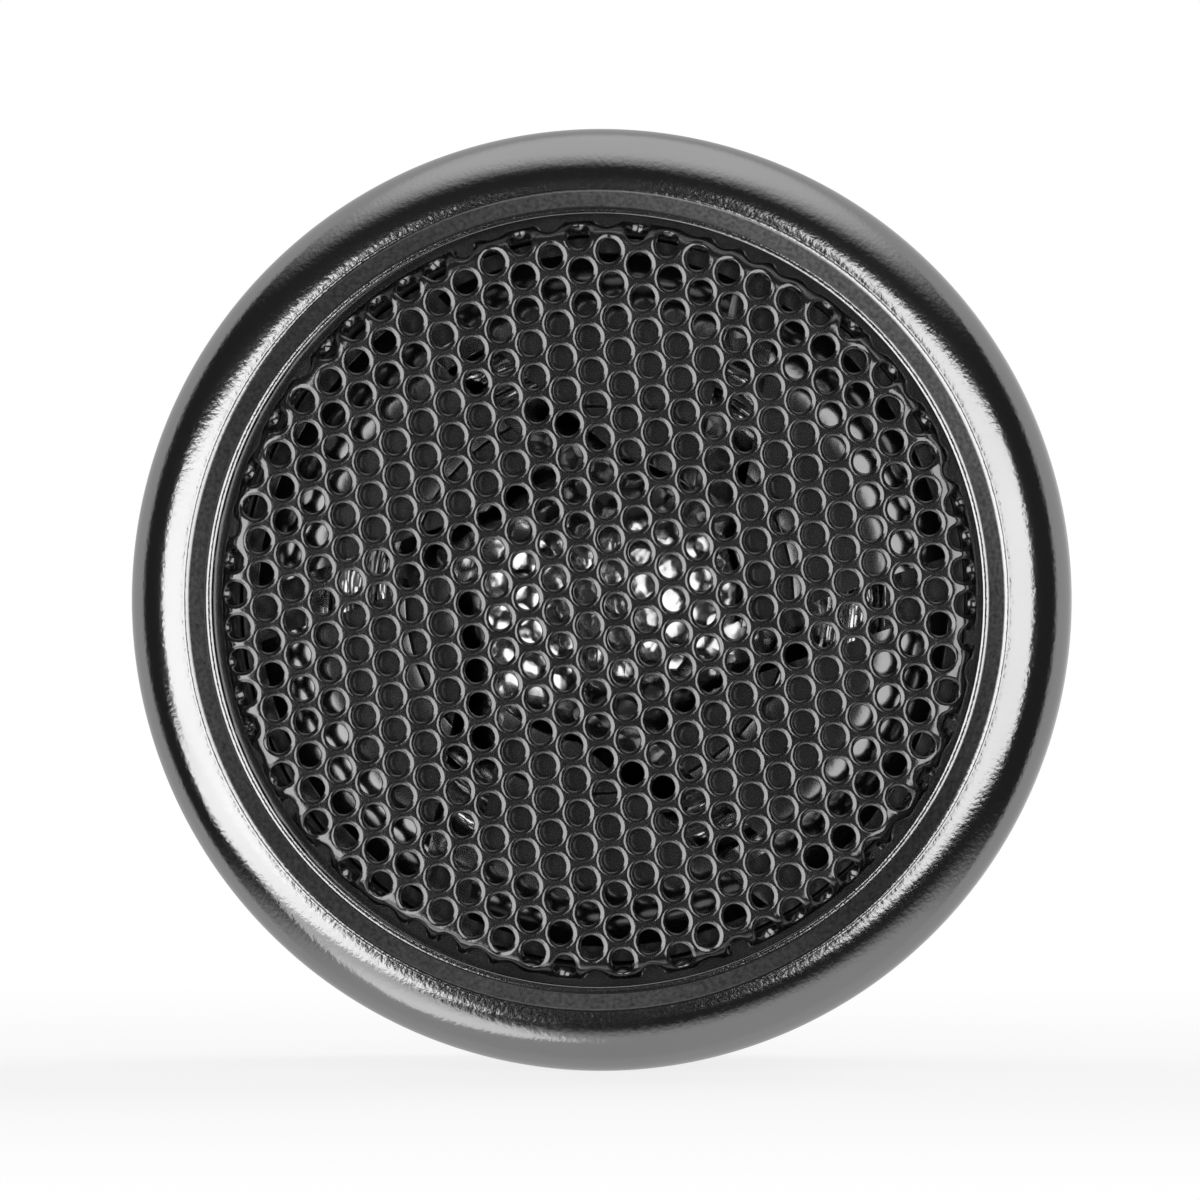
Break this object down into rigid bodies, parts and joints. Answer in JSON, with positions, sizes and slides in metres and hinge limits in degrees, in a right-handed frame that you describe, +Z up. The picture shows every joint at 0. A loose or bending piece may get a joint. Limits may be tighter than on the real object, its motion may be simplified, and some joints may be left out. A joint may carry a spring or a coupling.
{
  "type": "car tweeter",
  "caption": "Round flush-mount car tweeter: dark plated bezel, perforated grille, petal guard over a film dome, sprung panel clips and rear blade terminals.",
  "frame": {"origin": "on the speaker's axis, in the plane of the gasket's rear face, which presses on the trim panel", "axes": "+Y along the axis into the panel, away from the listener; the grille faces -Y; +Z up"},
  "size_m": [0.042, 0.03, 0.042],
  "materials": {
    "dark_chrome": "dark chrome plating over moulded plastic",
    "black_steel": "gloss black enamel on perforated steel",
    "gloss_black": "satin-gloss black moulding",
    "foam": "closed-cell foam",
    "metallised_film": "crinkled metallised film",
    "board": "bonded paper laminate",
    "black_plastic": "fine-grained black moulding",
    "zinc_steel": "zinc-plated mild steel",
    "magnet": "nickel-plated neodymium",
    "felt": "pressed felt",
    "screw_steel": "nickel-plated steel",
    "capacitor_sleeve": "shrink sleeve",
    "tinned_copper": "tinned wire",
    "tinned_brass": "tin-plated brass",
    "brass": "plain brass",
    "aluminium_foil": "thin aluminium",
    "copper_wire": "enamelled copper",
    "lead_red": "flexible insulation",
    "lead_black": "flexible insulation",
    "spring_steel": "tempered spring steel"
  },
  "bodies": {
    "speaker_body": {"front_bezel": "dark_chrome", "grille": "black_steel", "petal_guard": "gloss_black", "flange_gasket": "foam", "surround": "metallised_film", "surround_ring": "board", "motor_frame": "black_plastic", "pole_plate": "zinc_steel", "magnet": "magnet", "pot_yoke": "zinc_steel", "damping_pad": "felt", "housing": "black_plastic", "frame_screws": "screw_steel", "rear_cover": "black_plastic", "cover_screws": "screw_steel", "crossover_board": "board", "capacitor": "capacitor_sleeve", "capacitor_legs": "tinned_copper", "terminal_positive": "tinned_brass", "terminal_negative": "tinned_brass", "terminal_rivets": "brass", "coil_lead_positive": "copper_wire", "coil_lead_negative": "copper_wire", "coil_tag_positive": "tinned_brass", "coil_tag_negative": "tinned_brass", "inner_lead_positive": "lead_red", "inner_lead_negative": "lead_black"},
    "diaphragm": {"dome": "metallised_film", "coil_former": "aluminium_foil", "voice_coil": "copper_wire"},
    "clip_1": {"spring_clip_1": "spring_steel"},
    "clip_2": {"spring_clip_2": "spring_steel"},
    "clip_3": {"spring_clip_3": "spring_steel"}
  },
  "joints": [
    {"name": "dome_travel", "type": "slide", "parent": "speaker_body", "child": "diaphragm", "axis": [0, -1, 0], "range_m": [-0.0003, 0.0003], "stiffness_N_per_m": 8000, "deforming": ["surround", "coil_lead_positive", "coil_lead_negative"]},
    {"name": "clip_1_press", "type": "hinge", "parent": "speaker_body", "child": "clip_1", "pos_m": [0, 0.0167, 0.017], "axis": [1, 0, 0], "range_deg": [0, 5.2], "stiffness_Nm_per_rad": 0.5},
    {"name": "clip_2_press", "type": "hinge", "parent": "speaker_body", "child": "clip_2", "pos_m": [-0.01472, 0.0167, -0.0085], "axis": [-0.5, 0, 0.866], "range_deg": [0, 5.2], "stiffness_Nm_per_rad": 0.5},
    {"name": "clip_3_press", "type": "hinge", "parent": "speaker_body", "child": "clip_3", "pos_m": [0.01472, 0.0167, -0.0085], "axis": [-0.5, 0, -0.866], "range_deg": [0, 5.2], "stiffness_Nm_per_rad": 0.5}
  ]
}
